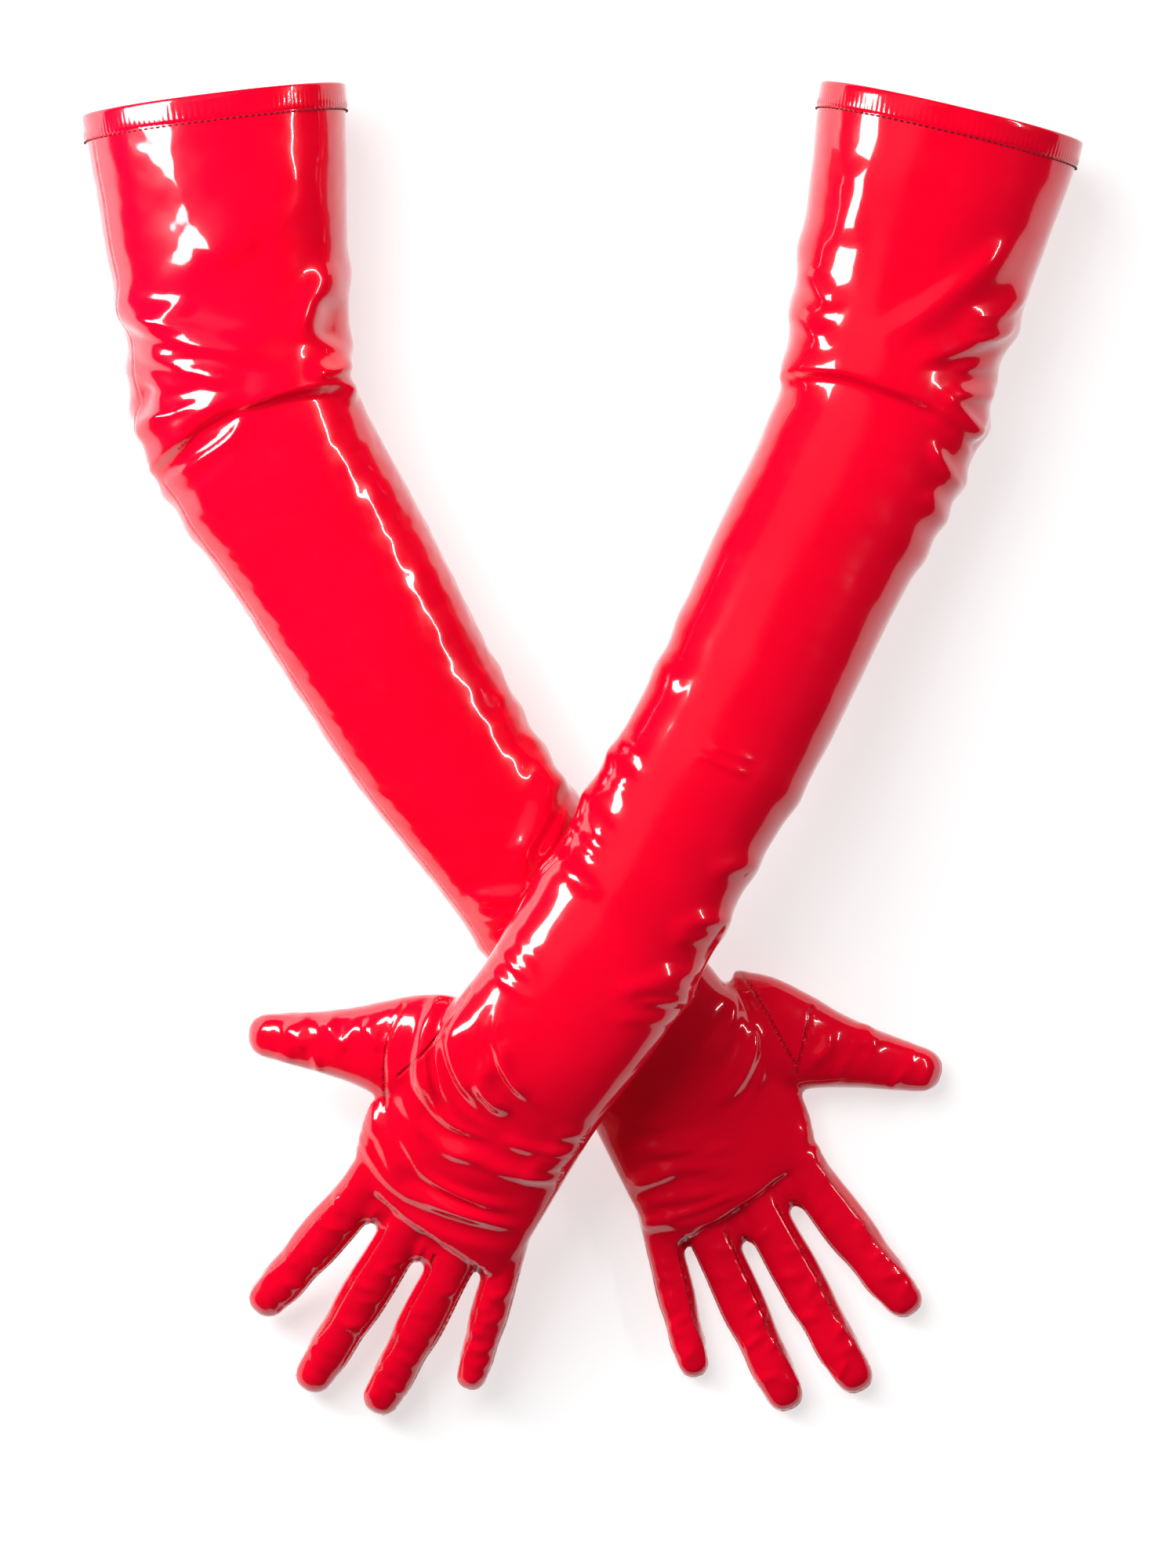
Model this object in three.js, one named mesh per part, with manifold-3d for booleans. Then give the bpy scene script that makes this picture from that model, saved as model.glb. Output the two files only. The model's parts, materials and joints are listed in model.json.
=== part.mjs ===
// A pair of elbow-length-plus (opera) gloves, filled out as worn and laid crossed at the wrists.
// Millimetres, +Z up. Fingers point towards -Y, the palms and the crooks of the elbows face up.
// Every glove is drawn in local frames: +X runs away from the joint, +Y is the thumb side of a left
// glove, +Z is the palm side. The right glove is the mirror image of the left.
import * as THREE from "three";
import { mergeVertices } from "three/addons/utils/BufferGeometryUtils.js";
import Module from "manifold-3d";

const wasm = await Module();
wasm.setup();

// Cloth
const wall = 1.0; // thickness of one layer of coated cloth, padding of the stretch knit included
const seam = 0.4; // gap left between two panels that are sewn together
const hingeGap = 0.3; // each of two tubes that meet at a hinge stops this far from its axis
const hemWall = 1.8; // the hem is turned, so it is two layers
const hemWidth = 10.5;
const stitchWidth = 0.6;
const stitchSink = 0.3; // the row of stitches lies this far below the surface

// Sleeve
const sleeveLength = 139; // elbow to hem
const forearmLength = 288; // elbow to wrist
const hemHalf = [56, 42]; // half width and half height
const elbowHalf = [46, 36];
const wristHalf = [38.5, 24];

// Hand
const palmLength = 102; // wrist to the hinge of the middle finger, which lies just behind the crotches
const palmHalf = [44, 12];
const palmShift = -1.5; // the palm's middle lies a little towards the little finger
const knuckleArc = 16; // the outer hinges lie this far behind the middle one
const fingers = [
  { name: "index", across: 24, splay: 4.5, length: 81, half: [10.7, 9] },
  { name: "middle", across: 0.5, splay: -4, length: 93, half: [10.5, 9] },
  { name: "ring", across: -23, splay: -8.3, length: 87, half: [10.2, 8.8] },
  { name: "little", across: -40.5, splay: -19.3, length: 65, half: [8.2, 8] },
];
const thumbLength = 62;
const thumbHalf = [14.5, 12];
const gussetDepth = 36; // how far the root of the thumb's cone lies inside the hand
const gussetHalf = [23, 16];
const tipTaper = 0.82; // a finger's width before its rounded tip, as a share of its width at the root

// Joint ranges in degrees
const elbowBend = 60;
const wristBend = 40;
const wristSwing = 10;
const fingerBend = 60;
const thumbBend = 35;

// The pose that each glove lies in: where its wrist is, and headings in degrees from +X
const poses = [
  {
    side: "left",
    wrist: [19, -106],
    forearm: -56.7,
    forearmBow: -6,
    sleeve: 97.1,
    hand: -57,
    palmDrop: 0,
    fingerDrop: 0,
    thumb: { along: 56, out: 52, splay: 44.7, drop: 0 },
    raised: 0,
  },
  {
    side: "right",
    wrist: [-14.3, -120.4],
    forearm: -118.4,
    forearmBow: -5,
    sleeve: 76.8,
    hand: -126,
    palmDrop: 12,
    fingerDrop: 9,
    thumb: { along: 47, out: 51, splay: 57.2, drop: 8 },
    raised: 1,
  },
];
const crossing = 41; // distance from the upper glove's wrist back to where it lies on the lower one
const restGap = 1; // clearance between the two gloves where they cross

const degrees = Math.PI / 180;
const vinyl = { color: 0xe00022, roughness: 0.16, metalness: 0 };
const thread = { color: 0x8c0016, roughness: 0.55, metalness: 0 };

// A cross-section: x along the tube, its middle (y, z), half width and half height, and how its
// outline leans: lean tips the upper half along x and heel the lower half, mitre turns it in plan,
// flare carries both sides along x, bow pushes its middle forward. Back draws the inner face of a
// rounded tip back by a share of the wall.
function section(x, half, options = {}) {
  const upright = { y: 0, z: 0, lean: 0, heel: 0, mitre: 0, flare: 0, bow: 0, back: 0 };
  return { ...upright, x, half, ...options };
}

function rimPoint(s, angle, inset) {
  const a = Math.max(s.half[0] - inset, 0.35);
  const b = Math.max(s.half[1] - inset, 0.35);
  const y = a * Math.cos(angle);
  const z = b * Math.sin(angle);
  const across = y / s.half[0];
  const tipped = s.lean * Math.max(z, 0) + s.heel * Math.max(-z, 0);
  const bent = s.mitre * y + s.flare * Math.abs(y) + s.bow * (1 - across * across);
  const pulled = inset > 0 ? s.back * inset : 0;
  return new THREE.Vector3(s.x + tipped + bent - pulled, s.y + y, s.z + z);
}

// One panel of a tube, from angle `from` to angle `to` of every section, as a closed sheet of cloth.
function panel(sections, span, thickness = wall, steps = 10) {
  const closed = span === "ring";
  const columns = closed ? steps : steps + 1;
  const points = [];
  for (const inset of [0, thickness]) {
    sections.forEach((s, row) => {
      const [from, to] = closed ? [0, 2 * Math.PI] : span(s, row);
      for (let i = 0; i < columns; i += 1) {
        points.push(rimPoint(s, from + ((to - from) * i) / steps, inset));
      }
    });
  }
  const rows = sections.length;
  const at = (layer, row, i) => (layer * rows + row) * columns + (i % columns);
  const index = [];
  const quad = (a, b, c, d) => index.push(a, c, b, a, d, c);
  const last = closed ? steps : columns - 1;
  for (let row = 0; row + 1 < rows; row += 1) {
    for (let i = 0; i < last; i += 1) {
      quad(at(0, row, i), at(0, row + 1, i), at(0, row + 1, i + 1), at(0, row, i + 1));
      quad(at(1, row, i), at(1, row, i + 1), at(1, row + 1, i + 1), at(1, row + 1, i));
    }
    if (!closed) {
      quad(at(0, row, 0), at(1, row, 0), at(1, row + 1, 0), at(0, row + 1, 0));
      quad(at(0, row, last), at(0, row + 1, last), at(1, row + 1, last), at(1, row, last));
    }
  }
  for (let i = 0; i < last; i += 1) {
    quad(at(0, 0, i), at(0, 0, i + 1), at(1, 0, i + 1), at(1, 0, i));
    quad(at(0, rows - 1, i), at(1, rows - 1, i), at(1, rows - 1, i + 1), at(0, rows - 1, i + 1));
  }
  return geometryOf(points, index);
}

// The whole space inside a tube's outline, closed at both ends.
function plug(sections, grow, steps = 20) {
  const points = [];
  for (const s of sections) {
    for (let i = 0; i < steps; i += 1) {
      points.push(rimPoint(s, (2 * Math.PI * i) / steps, -grow));
    }
  }
  const rows = sections.length;
  const at = (row, i) => row * steps + (i % steps);
  const index = [];
  for (let row = 0; row + 1 < rows; row += 1) {
    for (let i = 0; i < steps; i += 1) {
      index.push(at(row, i), at(row + 1, i + 1), at(row + 1, i));
      index.push(at(row, i), at(row, i + 1), at(row + 1, i + 1));
    }
  }
  for (let i = 1; i + 1 < steps; i += 1) {
    index.push(at(0, 0), at(0, i + 1), at(0, i));
    index.push(at(rows - 1, 0), at(rows - 1, i), at(rows - 1, i + 1));
  }
  return geometryOf(points, index);
}

function geometryOf(points, index) {
  const geometry = new THREE.BufferGeometry().setFromPoints(points);
  geometry.setIndex(index);
  return geometry;
}

function mirrored(geometry) {
  const copy = geometry.clone().scale(1, -1, 1);
  const index = copy.index.array;
  for (let i = 0; i < index.length; i += 3) {
    [index[i + 1], index[i + 2]] = [index[i + 2], index[i + 1]];
  }
  return copy;
}

function toSolid(geometry) {
  const bare = new THREE.BufferGeometry();
  bare.setAttribute("position", geometry.getAttribute("position"));
  bare.setIndex(geometry.index);
  const merged = mergeVertices(bare, 1e-4);
  return new wasm.Manifold(
    new wasm.Mesh({
      numProp: 3,
      vertProperties: merged.attributes.position.array,
      triVerts: new Uint32Array(merged.index.array),
    }),
  );
}

function cutBy(geometry, cutter) {
  const result = toSolid(geometry).subtract(toSolid(cutter)).getMesh();
  const cut = new THREE.BufferGeometry();
  cut.setAttribute("position", new THREE.BufferAttribute(result.vertProperties, 3));
  cut.setIndex(new THREE.BufferAttribute(result.triVerts, 1));
  return cut;
}

// The angles of a panel between two bearings of the outline, each pulled in by half a seam.
function between(from, to) {
  return (s) => {
    const trim = seam / 2 / Math.min(...s.half);
    return [from(s) + trim, to(s) - trim];
  };
}
const always = (angle) => () => angle;
const palmSide = between(always(0), always(Math.PI));
const backSide = between(always(Math.PI), always(2 * Math.PI));

function addMesh(group, name, geometry, look, side) {
  const mesh = new THREE.Mesh(
    side === "right" ? mirrored(geometry) : geometry,
    new THREE.MeshStandardMaterial(look),
  );
  mesh.name = `${side}_${name}`;
  group.add(mesh);
}

function addPanels(group, name, sections, side, steps) {
  addMesh(group, `${name}_front`, panel(sections, palmSide, wall, steps), vinyl, side);
  addMesh(group, `${name}_back`, panel(sections, backSide, wall, steps), vinyl, side);
}

const tangent = (angle) => Math.tan(angle * degrees);
// The ends of two tubes at a hinge open a wedge that is a little wider than the bend.
const wedgeSpare = 6;
const hingeLean = (bend) => tangent((bend + wedgeSpare) / 2);

// Upper sleeve, drawn from the elbow out to the hem, lying on the surface
function buildUpperSleeve(group, pose) {
  const { side } = pose;
  const lying = (x, half, options) => section(x, half, { z: half[1], ...options });
  const stitchRow = sleeveLength - hemWidth - seam - stitchWidth;
  const nearHem = [hemHalf[0] - 0.6, hemHalf[1] - 0.3];
  const sections = [
    lying(hingeGap, elbowHalf, { lean: hingeLean(elbowBend), mitre: -elbowMitre(pose) }),
    lying(0.28 * sleeveLength, [elbowHalf[0], elbowHalf[1] + 1]),
    lying(0.52 * sleeveLength, blend(elbowHalf, nearHem, 0.22)),
    lying(0.72 * sleeveLength, blend(elbowHalf, nearHem, 0.55)),
    lying(stitchRow - seam, nearHem),
  ];
  addPanels(group, "upper_sleeve", sections, side);
  const sunk = [nearHem[0] - stitchSink, nearHem[1] - stitchSink];
  const row = [stitchRow, stitchRow + stitchWidth].map((x) => section(x, sunk, { z: nearHem[1] }));
  addMesh(group, "hem_stitching", panel(row, "ring", wall, 32), thread, side);
  const band = [sleeveLength - hemWidth, sleeveLength].map((x) => lying(x, hemHalf));
  addMesh(group, "hem_band", panel(band, "ring", hemWall, 32), vinyl, side);
}

// In plan the sleeve and the forearm meet at an angle, and both ends are cut to halve it.
function elbowMitre(pose) {
  const turn = pose.side === "left" ? 1 : -1;
  return turn * tangent((pose.forearm + 180 - pose.sleeve) / 2);
}

function blend(a, b, share) {
  return a.map((value, i) => value + (b[i] - value) * share);
}

// Half sizes of the forearm at a share t of its length, with the muscle below the elbow
function forearmHalf(t) {
  const straight = blend(elbowHalf, wristHalf, t);
  const waist = 4.2 * Math.sin(Math.PI * Math.min(1, 1.15 * t));
  return [straight[0] - waist, straight[1]];
}

// The upper glove climbs from the elbow to where it lies on the lower glove.
function forearmRise(pose, t) {
  const height = forearmHalf(t)[1];
  if (!pose.raised) return height;
  const share = 1 - crossing / forearmLength;
  const lower = forearmHalf(share)[1];
  const climb = 2 * lower + restGap + lower - elbowHalf[1];
  const step = Math.min(t / share, 1);
  return elbowHalf[1] + climb * (1.3 * step - 0.3 * step * step);
}

// Forearm, drawn from the elbow to the wrist
function buildForearm(group, pose) {
  const places = [0, 0.16, 0.38, 0.62, 1 - crossing / forearmLength, 1];
  const sections = places.map((t, row) => {
    const x = hingeGap + (forearmLength - 2 * hingeGap) * t;
    const atElbow = { lean: hingeLean(elbowBend), mitre: elbowMitre(pose) };
    const atWrist = { lean: -hingeLean(wristBend) };
    const ends = { 0: atElbow, [places.length - 1]: atWrist };
    const y = pose.forearmBow * Math.sin(Math.PI * t);
    return section(x, forearmHalf(t), { y, z: forearmRise(pose, t), ...ends[row] });
  });
  addPanels(group, "forearm", sections, pose.side);
}

// The back of the hand is flat, so every section keeps its lowest point level with the wrist's.
const level = (half, root) => half[1] - root[1];

function handSections(drop) {
  const shape = (x, half, options) => section(x, half, { z: level(half, wristHalf), ...options });
  const end = palmLength - knuckleArc - hingeGap;
  const root = { lean: hingeLean(wristBend), heel: tangent(drop), flare: tangent(wristSwing) };
  return [
    shape(hingeGap, wristHalf, root),
    shape(0.32 * palmLength, blend(wristHalf, palmHalf, 0.4), { y: 0.3 * palmShift }),
    shape(0.51 * palmLength, blend(wristHalf, palmHalf, 0.7), { y: 0.6 * palmShift, bow: 4 }),
    shape(end, palmHalf, { y: palmShift, bow: knuckleArc, lean: -hingeLean(fingerBend) }),
  ];
}

// A closed finger: root, body and rounded tip, lowest points level with the root's
function fingerSections(length, half, bend, drop) {
  const tip = half.map((value) => value * tipTaper);
  const shape = (x, size, options) => section(x, size, { z: level(size, half), ...options });
  return [
    shape(hingeGap, half, { lean: hingeLean(bend), heel: tangent(drop) }),
    shape(0.28 * length, half),
    shape(0.6 * length, blend(half, tip, 0.45)),
    shape(length - tip[0], tip),
    shape(length - 0.42 * tip[0], blend([0, 0], tip, 0.8), { back: 0.5 }),
    shape(length - 0.1 * tip[0], blend([0, 0], tip, 0.42), { back: 1 }),
    shape(length, blend([0, 0], tip, 0.14), { back: 1 }),
  ];
}

// How far a side strip reaches up and down a finger's side at each of its sections, in degrees
const sideReach = [38, 38, 37, 26, 9, 0, 0];

function buildFinger(group, finger, order, pose) {
  const { side } = pose;
  const sections = fingerSections(finger.length, finger.half, fingerBend, pose.fingerDrop);
  const reach = (row) => sideReach[row] * degrees;
  const near = order > 0 ? reach : () => 0;
  const far = order + 1 < fingers.length ? reach : () => 0;
  const strip = (from, to) => (s, row) => between(() => from(row), () => to(row))(s);
  const front = strip(near, (row) => Math.PI - far(row));
  const back = strip((row) => Math.PI + far(row), (row) => 2 * Math.PI - near(row));
  addMesh(group, `${finger.name}_front`, panel(sections, front, wall, 6), vinyl, side);
  addMesh(group, `${finger.name}_back`, panel(sections, back, wall, 6), vinyl, side);
  const sideSections = sections.slice(0, sideReach.indexOf(0));
  const addSide = (name, middle) => {
    const span = strip((row) => middle - reach(row), (row) => middle + reach(row));
    addMesh(group, `${finger.name}_fourchette_${name}`, panel(sideSections, span, wall, 4), vinyl, side);
  };
  if (order > 0) addSide("near", 0);
  if (order + 1 < fingers.length) addSide("far", Math.PI);
}

function buildThumb(group, pose) {
  const sections = fingerSections(thumbLength, thumbHalf, thumbBend, pose.thumb.drop);
  addPanels(group, "thumb", sections, pose.side);
}

// Palm, back of the hand and the wedge that carries the thumb, each cut clear of the others
function buildHand(group, pose) {
  const { thumb, side } = pose;
  const seat = new THREE.Object3D();
  placeThumb(seat, thumb, 1);
  seat.updateMatrix();
  const cone = [
    section(-gussetDepth, gussetHalf, { z: level(gussetHalf, thumbHalf) }),
    section(-hingeGap, thumbHalf, { lean: -hingeLean(thumbBend) }),
  ];
  const inHand = (geometry) => geometry.applyMatrix4(seat.matrix);
  const hand = handSections(pose.palmDrop);
  const gusset = cutBy(inHand(panel(cone, "ring", wall, 20)), plug(hand, seam));
  const passage = inHand(plug(cone, seam));
  addMesh(group, "thumb_gusset", gusset, vinyl, side);
  addMesh(group, "palm", cutBy(panel(hand, palmSide, wall, 12), passage), vinyl, side);
  addMesh(group, "hand_back", cutBy(panel(hand, backSide, wall, 12), passage), vinyl, side);
}

function placeThumb(group, thumb, turn) {
  group.position.set(thumb.along, turn * thumb.out, level(thumbHalf, wristHalf));
  group.rotation.set(0, thumb.drop * degrees, turn * thumb.splay * degrees, "ZYX");
}

// The share of a finger's half width that can meet the palm's edge, since its section is round
const roundedRoot = 0.75;

// Where a finger's hinge lies along the hand: its root stands square to the finger, so it is moved
// forward until it clears the curved end of the palm.
function knuckle(finger) {
  const out = (finger.across - palmShift) / palmHalf[0];
  const curve = knuckleArc / palmHalf[0] ** 2;
  const slope = -2 * curve * palmHalf[0] * out;
  const skew = Math.abs(Math.tan(Math.atan(slope) + finger.splay * degrees));
  const nearest = Math.min(roundedRoot * finger.half[0], skew / (2 * curve));
  return palmLength - knuckleArc * out * out + skew * nearest - curve * nearest * nearest;
}

function subGroup(parent, name) {
  const group = new THREE.Group();
  group.name = name;
  parent.add(group);
  return group;
}

function buildGlove(pair, pose) {
  const { side } = pose;
  const turn = side === "left" ? 1 : -1;
  const glove = subGroup(pair, `${side}_glove`);
  const heading = (angle) => [Math.cos(angle * degrees), Math.sin(angle * degrees)];
  const [dx, dy] = heading(pose.forearm);
  const elbow = [pose.wrist[0] - forearmLength * dx, pose.wrist[1] - forearmLength * dy];

  const sleeve = subGroup(glove, `${side}_upper`);
  sleeve.position.set(elbow[0], elbow[1], 0);
  sleeve.rotation.z = pose.sleeve * degrees;
  buildUpperSleeve(sleeve, pose);

  const forearm = subGroup(glove, `${side}_forearm`);
  forearm.position.set(elbow[0], elbow[1], 0);
  forearm.rotation.z = pose.forearm * degrees;
  buildForearm(forearm, pose);

  const hand = subGroup(glove, `${side}_hand`);
  hand.position.set(pose.wrist[0], pose.wrist[1], forearmRise(pose, 1));
  hand.rotation.set(0, pose.palmDrop * degrees, pose.hand * degrees, "ZYX");
  buildHand(hand, pose);

  const thumb = subGroup(hand, `${side}_thumb`);
  placeThumb(thumb, pose.thumb, turn);
  buildThumb(thumb, pose);

  fingers.forEach((finger, order) => {
    const group = subGroup(hand, `${side}_${finger.name}`);
    group.position.set(knuckle(finger), turn * finger.across, level(finger.half, wristHalf));
    group.rotation.set(0, pose.fingerDrop * degrees, turn * finger.splay * degrees, "ZYX");
    buildFinger(group, finger, order, pose);
  });
}

const pair = new THREE.Group();
pair.name = "opera_gloves";
poses.forEach((pose) => buildGlove(pair, pose));

// The origin is under the middle of the pair, on the surface it lies on.
const bounds = new THREE.Box3().setFromObject(pair, true);
const middle = bounds.getCenter(new THREE.Vector3());
pair.position.set(-middle.x, -middle.y, -bounds.min.z);

export default pair;
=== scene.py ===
import json
import math

import bmesh
import bpy
import numpy as np
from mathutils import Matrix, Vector
from numpy.linalg import norm


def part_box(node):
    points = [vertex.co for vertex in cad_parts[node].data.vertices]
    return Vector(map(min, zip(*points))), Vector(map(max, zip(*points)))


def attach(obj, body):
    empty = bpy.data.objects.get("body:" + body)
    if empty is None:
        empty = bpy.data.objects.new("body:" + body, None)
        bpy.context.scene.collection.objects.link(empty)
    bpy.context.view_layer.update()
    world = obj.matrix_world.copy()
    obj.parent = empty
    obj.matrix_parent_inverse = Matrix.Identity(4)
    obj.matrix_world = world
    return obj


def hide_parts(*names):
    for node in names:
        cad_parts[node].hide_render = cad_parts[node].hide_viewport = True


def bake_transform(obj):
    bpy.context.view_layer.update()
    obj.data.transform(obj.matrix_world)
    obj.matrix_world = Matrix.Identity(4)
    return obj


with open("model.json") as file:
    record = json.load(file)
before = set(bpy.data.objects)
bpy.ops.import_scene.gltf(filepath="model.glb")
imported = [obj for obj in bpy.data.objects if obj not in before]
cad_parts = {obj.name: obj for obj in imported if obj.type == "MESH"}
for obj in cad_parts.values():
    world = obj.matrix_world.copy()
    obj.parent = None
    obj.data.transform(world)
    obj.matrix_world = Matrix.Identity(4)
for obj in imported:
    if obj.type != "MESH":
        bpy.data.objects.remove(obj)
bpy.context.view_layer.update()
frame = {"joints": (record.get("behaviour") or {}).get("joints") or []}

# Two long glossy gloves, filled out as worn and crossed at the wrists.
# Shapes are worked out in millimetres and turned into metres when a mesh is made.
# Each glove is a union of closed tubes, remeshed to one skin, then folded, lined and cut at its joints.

scene = bpy.context.scene
metres = 0.001
joints = {joint["name"]: joint for joint in frame["joints"]}
fingerNames = ("index", "middle", "ring", "little")
elbowHeight = 36


def unit(v):
    v = np.asarray(v, float)
    return v / norm(v)


def ramp(low, high, value):
    t = np.clip((np.asarray(value, float) - low) / (high - low), 0, 1)
    return t * t * (3 - 2 * t)


# A smooth curve through values at rising places
def through(places, values, at):
    x, y = np.asarray(places, float), np.asarray(values, float)
    at = np.atleast_1d(np.asarray(at, float))
    slope = np.gradient(y, x, axis=0)
    i = np.clip(np.searchsorted(x, at) - 1, 0, len(x) - 2)
    h = x[i + 1] - x[i]
    t = np.clip((at - x[i]) / h, 0, 1)
    if y.ndim > 1:
        h, t = h[:, None], t[:, None]
    a = (1 + 2 * t) * (1 - t) ** 2 * y[i] + t * (1 - t) ** 2 * h * slope[i]
    return a + t * t * (3 - 2 * t) * y[i + 1] - t * t * (1 - t) * h * slope[i + 1]


def newPiece(name, mesh):
    piece = bpy.data.objects.new(name, mesh)
    scene.collection.objects.link(piece)
    return piece


def smooth(mesh):
    mesh.polygons.foreach_set("use_smooth", np.ones(len(mesh.polygons), bool))


def nodeMiddle(name):
    low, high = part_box(name)
    return np.array((low + high) / 2) / metres


def jointPlace(name):
    return np.array(joints[name]["pos_m"]) / metres


# A local frame: along the piece, to one side, and up out of the palm
def axes(at, along, side):
    along, side = unit(along), unit(side)
    up = np.cross(along, side)
    return {"at": np.asarray(at, float), "along": along, "side": side, "up": up if up[2] > 0 else -up}


def flatAxes(at, along):
    level = unit([along[0], along[1], 0])
    side = np.array([-level[1], level[0], 0])
    return axes(at, level, side if side[0] > 0 else -side)


# The frame of a piece that turns about a hinge, pitched down by some degrees towards its tip
def hingeAxes(name, turn, pitch):
    side = -turn * unit(joints[name]["axis"])
    level = unit(turn * np.cross(side, [0, 0, 1]))
    upright = unit(np.array([0, 0, 1]) - side[2] * side)
    p = math.radians(pitch)
    return axes(jointPlace(name), math.cos(p) * level - math.sin(p) * upright, side)


def toLocal(points, own):
    d = points - own["at"]
    return d @ own["along"], d @ own["side"], d @ own["up"]


def toWorld(own, along, side, up=0.0):
    return (own["at"] + along * own["along"] + side * own["side"]
            + up * own["up"])


def gloveFrames(hand, turn, pitches):
    elbow = jointPlace(f"{hand}_elbow")
    wristJoint = "left_wrist_swing" if hand == "left" else "right_wrist"
    wrist = jointPlace(wristJoint)
    floor = np.array([elbow[0], elbow[1], 0])
    hem = nodeMiddle(f"{hand}_hem_band")
    knuckle = jointPlace(f"{hand}_middle_knuckle")
    level = unit([knuckle[0] - wrist[0], knuckle[1] - wrist[1], 0])
    thumbSide = turn * np.array([-level[1], level[0], 0])
    p = math.radians(pitches["palm"])
    palmAlong = math.cos(p) * level - math.sin(p) * np.array([0, 0, 1])
    places = {
        "sleeve": flatAxes(floor, hem - floor),
        "forearm": flatAxes(floor, wrist - floor),
        "hand": axes(wrist, palmAlong, thumbSide),
        "thumb": hingeAxes(f"{hand}_thumb_base", turn, pitches["thumb"]),
    }
    for finger in fingerNames:
        places[finger] = hingeAxes(f"{hand}_{finger}_knuckle", turn, pitches["finger"])
    places["forearmLength"] = norm((wrist - floor)[:2])
    places["wristHeight"] = wrist[2]
    bandDepth = 10.5
    places["hemPlace"] = norm((hem - floor)[:2]) + bandDepth / 2
    return places


# Stations along each tube: place, shift to its side, half width and half height.
# The sleeve runs from the elbow to the hem, the forearm from the elbow to the wrist,
# both with +x as their side; the palm runs on from the wrist, its side the thumb's.
gloves = {
    "left": {
        "turn": 1,
        "pitches": {"palm": 0, "finger": 0, "thumb": 0},
        "sleeve": [(18, -2, 45.6, 36.5), (35, -0.4, 46.6, 37), (55, 0.2, 48.4, 38), (77, 0, 51.2, 39.4),
                   (100, 1, 53, 40.6), (128, 1.7, 55.2, 41.8), (146, 2.4, 56.6, 42.3)],
        "forearm": [(18, 0.2, 45.4, 35.4), (55, -0.9, 43.4, 33.7), (107, -4.2, 41, 31.5),
                    (154, -7, 38, 29.6), (207, -5.4, 35, 27.4), (241, -3.6, 35, 26), (272, -1.6, 36.6, 24.8)],
        "palm": [(14, 0, 38.6, 22.6), (34, 0, 40.2, 19.4), (54, -0.6, 42, 16.2), (74, -2, 42.8, 13.6),
                 (88, -4.4, 41.6, 12.2), (99, -7.4, 38.4, 10.6)],
    },
    "right": {
        "turn": -1,
        "pitches": {"palm": 12, "finger": 21, "thumb": 14.6},
        "sleeve": [(18, 2.2, 43.6, 36.5), (33, 0.6, 44, 37), (55, 1.4, 47.4, 38), (89, 2, 51, 40),
                   (104, 2.2, 52.8, 41), (122, 2.3, 55.2, 41.6), (146, 1.9, 57, 42.3)],
        "forearm": [(18, 1.4, 42.3, 35.4), (70, 3, 41.2, 33), (127, 6.6, 39.8, 30.6), (155, 6.4, 39.2, 29.5),
                    (187, 5.3, 38.6, 28.1), (217, 5.2, 39.2, 27), (246, 4.4, 40.4, 25.8), (272, 3, 40, 24.8)],
        "palm": [(14, 0, 39.6, 22.6), (34, 0, 41, 19.4), (54, -0.6, 42.4, 16.2), (74, -2, 42.8, 13.6),
                 (88, -4.4, 41.6, 12.2), (99, -7.4, 38.4, 10.6)],
    },
}

# Each finger: length from its hinge, half width and half height at the root
fingers = {
    "index": {"length": 81, "half": (10.7, 9.0)},
    "middle": {"length": 93, "half": (10.5, 9.0)},
    "ring": {"length": 87, "half": (10.2, 8.8)},
    "little": {"length": 65, "half": (8.4, 8.0)},
}
# The thumb is a cone from the palm's edge: place, half width, half height
thumb = {
    "length": 62,
    "half": (14.5, 12),
    "shape": [(-34, 25, 14), (-16, 25, 15), (0, 21, 14), (12, 17, 12.6), (24, 14, 11.6), (38, 11.6, 10.4),
              (50, 9.8, 9)],
}

skin = {
    "voxel": 1.3,        # size of the remeshed faces
    "smooth": 14,        # passes that round the joins of the tubes
    "thick": 0.7,        # coated stretch cloth
    "squareness": 2.15,  # 2 is an ellipse
    "columns": 80,       # points round a tube
    "step": 2.5,         # rings along a tube
}


# A circle a little squared off, as cosines and sines
def softSquare(count):
    angles = np.linspace(0, 2 * math.pi, count, endpoint=False)
    power = 2 / skin["squareness"]
    return [np.sign(wave) * np.abs(wave) ** power for wave in (np.cos(angles), np.sin(angles))]


# A closed tube through control rings, each (centre, side, up, half width, half height)
def tubeThrough(rings):
    centres = np.array([ring[0] for ring in rings], float)
    gaps = norm(np.diff(centres, axis=0), axis=1)
    places = np.concatenate([[0], np.cumsum(gaps)])
    table = np.array([np.concatenate([r[0], r[1], r[2], [r[3], r[4]]]) for r in rings])
    at = np.linspace(0, places[-1], max(8, int(places[-1] / skin["step"])))
    rows = through(places, table, at)
    cosine, sine = softSquare(skin["columns"])
    points = []
    for row in rows:
        side, up = unit(row[3:6]), unit(row[6:9])
        points.append(row[0:3] + np.outer(cosine * row[9], side) + np.outer(sine * row[10], up))
    return np.array(points)


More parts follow.
